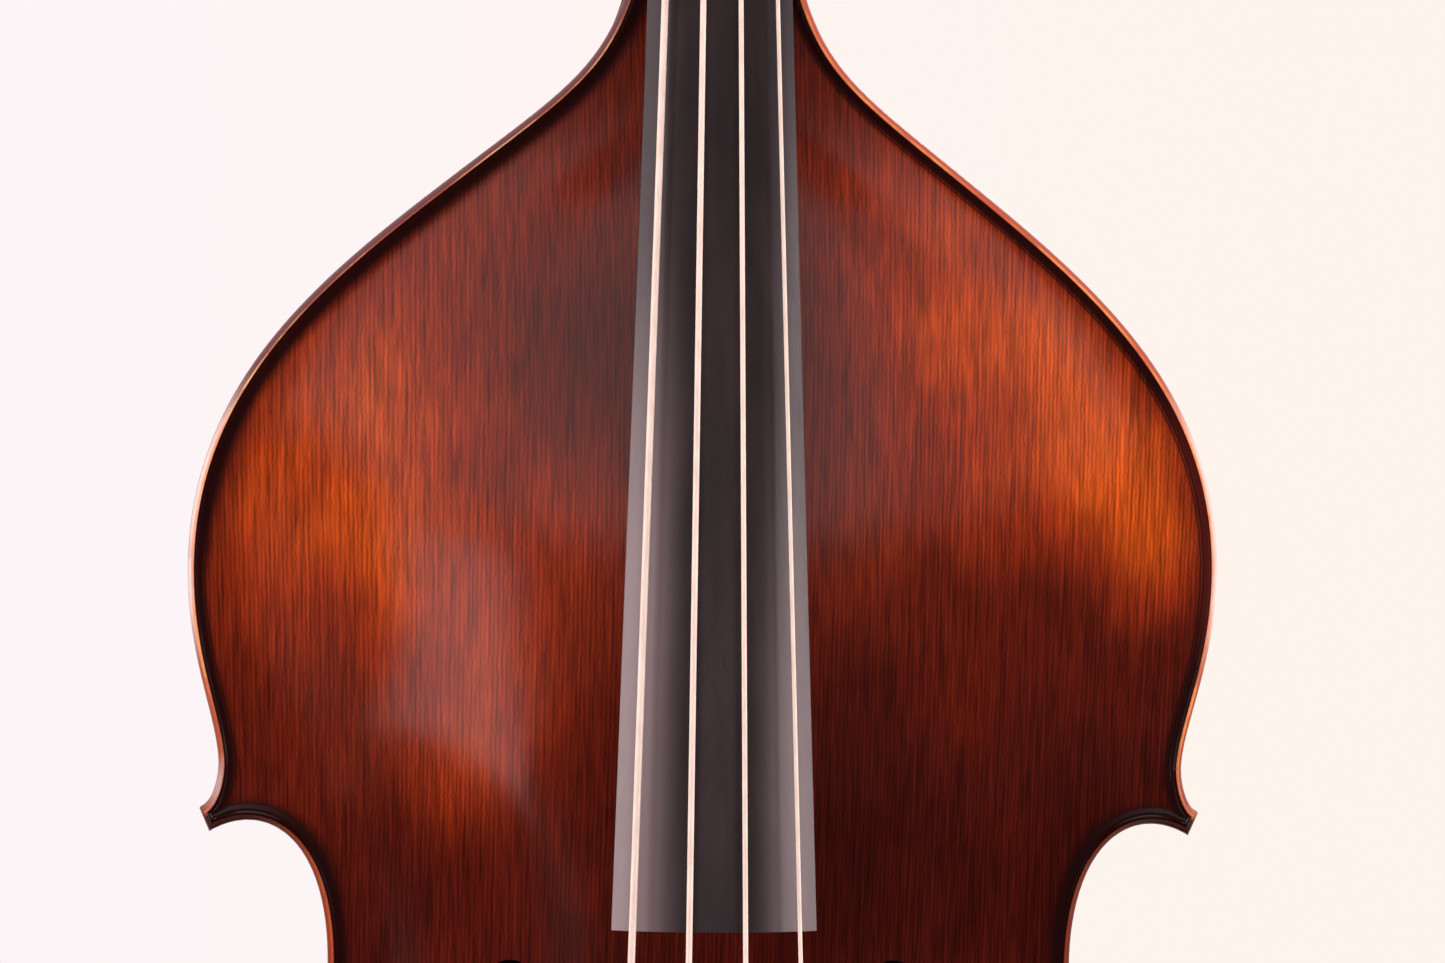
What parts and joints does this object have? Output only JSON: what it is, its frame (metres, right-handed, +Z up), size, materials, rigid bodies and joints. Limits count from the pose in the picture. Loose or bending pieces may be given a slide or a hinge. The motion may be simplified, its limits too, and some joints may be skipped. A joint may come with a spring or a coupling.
{
  "type": "double bass",
  "caption": "Upright double bass with carved arched top and back, ribs, ebony fingerboard, geared tuners, bridge, tailpiece and a sliding endpin.",
  "frame": {"origin": "centre of the underside of the endpin's rubber foot", "axes": "+Z up along the instrument, the front with the strings faces -Y, the lowest string is on the -X side"},
  "size_m": [0.664, 0.4156, 2.0065],
  "materials": {
    "varnished_spruce": "satin red-brown varnish over straight grain",
    "varnished_maple": "satin red-brown varnish over figured wood",
    "inner_wood": "bare",
    "ebony": "oiled satin",
    "bridge_maple": "bare, lightly sealed",
    "string_core": "matte cream",
    "brass": "brushed, aged",
    "steel": "brushed",
    "rubber": "matte"
  },
  "bodies": {
    "instrument": {"top_plate": "varnished_spruce", "back_plate": "varnished_maple", "upper_rib_bass": "varnished_maple", "upper_rib_treble": "varnished_maple", "centre_rib_bass": "varnished_maple", "centre_rib_treble": "varnished_maple", "lower_rib_bass": "varnished_maple", "lower_rib_treble": "varnished_maple", "neck_block": "inner_wood", "end_block": "inner_wood", "corner_blocks": "inner_wood", "front_linings": "inner_wood", "back_linings": "inner_wood", "bass_bar": "inner_wood", "sound_post": "inner_wood", "neck": "varnished_maple", "fingerboard": "ebony", "nut": "ebony", "saddle": "ebony", "bridge": "bridge_maple", "tailpiece": "ebony", "tail_wire": "steel", "string_e": "string_core", "string_a": "string_core", "string_d": "string_core", "string_g": "string_core", "string_balls": "brass", "endpin_plug": "ebony", "endpin_collar": "steel", "tuner_plate_e": "brass", "tuner_plate_a": "brass", "tuner_plate_d": "brass", "tuner_plate_g": "brass", "plate_screws": "brass"},
    "endpin": {"endpin_rod": "steel", "endpin_foot": "rubber"},
    "clamp_screw": {"thumb_screw": "steel"},
    "key_e": {"key_e": "brass", "worm_e": "brass"},
    "roller_e": {"roller_e": "brass", "gear_e": "brass", "gear_screw_e": "brass"},
    "key_a": {"key_a": "brass", "worm_a": "brass"},
    "roller_a": {"roller_a": "brass", "gear_a": "brass", "gear_screw_a": "brass"},
    "key_d": {"key_d": "brass", "worm_d": "brass"},
    "roller_d": {"roller_d": "brass", "gear_d": "brass", "gear_screw_d": "brass"},
    "key_g": {"key_g": "brass", "worm_g": "brass"},
    "roller_g": {"roller_g": "brass", "gear_g": "brass", "gear_screw_g": "brass"}
  },
  "joints": [
    {"name": "endpin_slide", "type": "slide", "parent": "instrument", "child": "endpin", "axis": [0, 0, -1], "range_m": [-0.1, 0.15]},
    {"name": "clamp_turn", "type": "hinge", "parent": "instrument", "child": "clamp_screw", "pos_m": [0.016, 0, 0.157], "axis": [1, 0, 0], "range_deg": [-360, 0]},
    {"name": "key_turn_e", "type": "hinge", "parent": "instrument", "child": "key_e", "pos_m": [-0.034, -0.03274, 1.78807], "axis": [0, 0.9775, -0.2107], "continuous": true},
    {"name": "roller_turn_e", "type": "hinge", "parent": "instrument", "child": "roller_e", "pos_m": [0, -0.03654, 1.77047], "axis": [1, 0, 0], "continuous": true},
    {"name": "key_turn_a", "type": "hinge", "parent": "instrument", "child": "key_a", "pos_m": [-0.034, -0.01044, 1.86305], "axis": [0, 0.9775, -0.2107], "continuous": true},
    {"name": "roller_turn_a", "type": "hinge", "parent": "instrument", "child": "roller_a", "pos_m": [0, -0.01423, 1.84546], "axis": [1, 0, 0], "continuous": true},
    {"name": "key_turn_d", "type": "hinge", "parent": "instrument", "child": "key_d", "pos_m": [0.034, -0.00883, 1.86577], "axis": [0, 0.9775, -0.2107], "continuous": true},
    {"name": "roller_turn_d", "type": "hinge", "parent": "instrument", "child": "roller_d", "pos_m": [0, -0.00504, 1.88337], "axis": [-1, 0, 0], "continuous": true},
    {"name": "key_turn_g", "type": "hinge", "parent": "instrument", "child": "key_g", "pos_m": [0.034, -0.02918, 1.79037], "axis": [0, 0.9775, -0.2107], "continuous": true},
    {"name": "roller_turn_g", "type": "hinge", "parent": "instrument", "child": "roller_g", "pos_m": [0, -0.02539, 1.80797], "axis": [-1, 0, 0], "continuous": true}
  ],
  "couplings": [
    {"joint": "roller_turn_e", "follows": "key_turn_e", "ratio": -0.041667},
    {"joint": "roller_turn_a", "follows": "key_turn_a", "ratio": -0.041667},
    {"joint": "roller_turn_d", "follows": "key_turn_d", "ratio": -0.041667},
    {"joint": "roller_turn_g", "follows": "key_turn_g", "ratio": -0.041667}
  ]
}
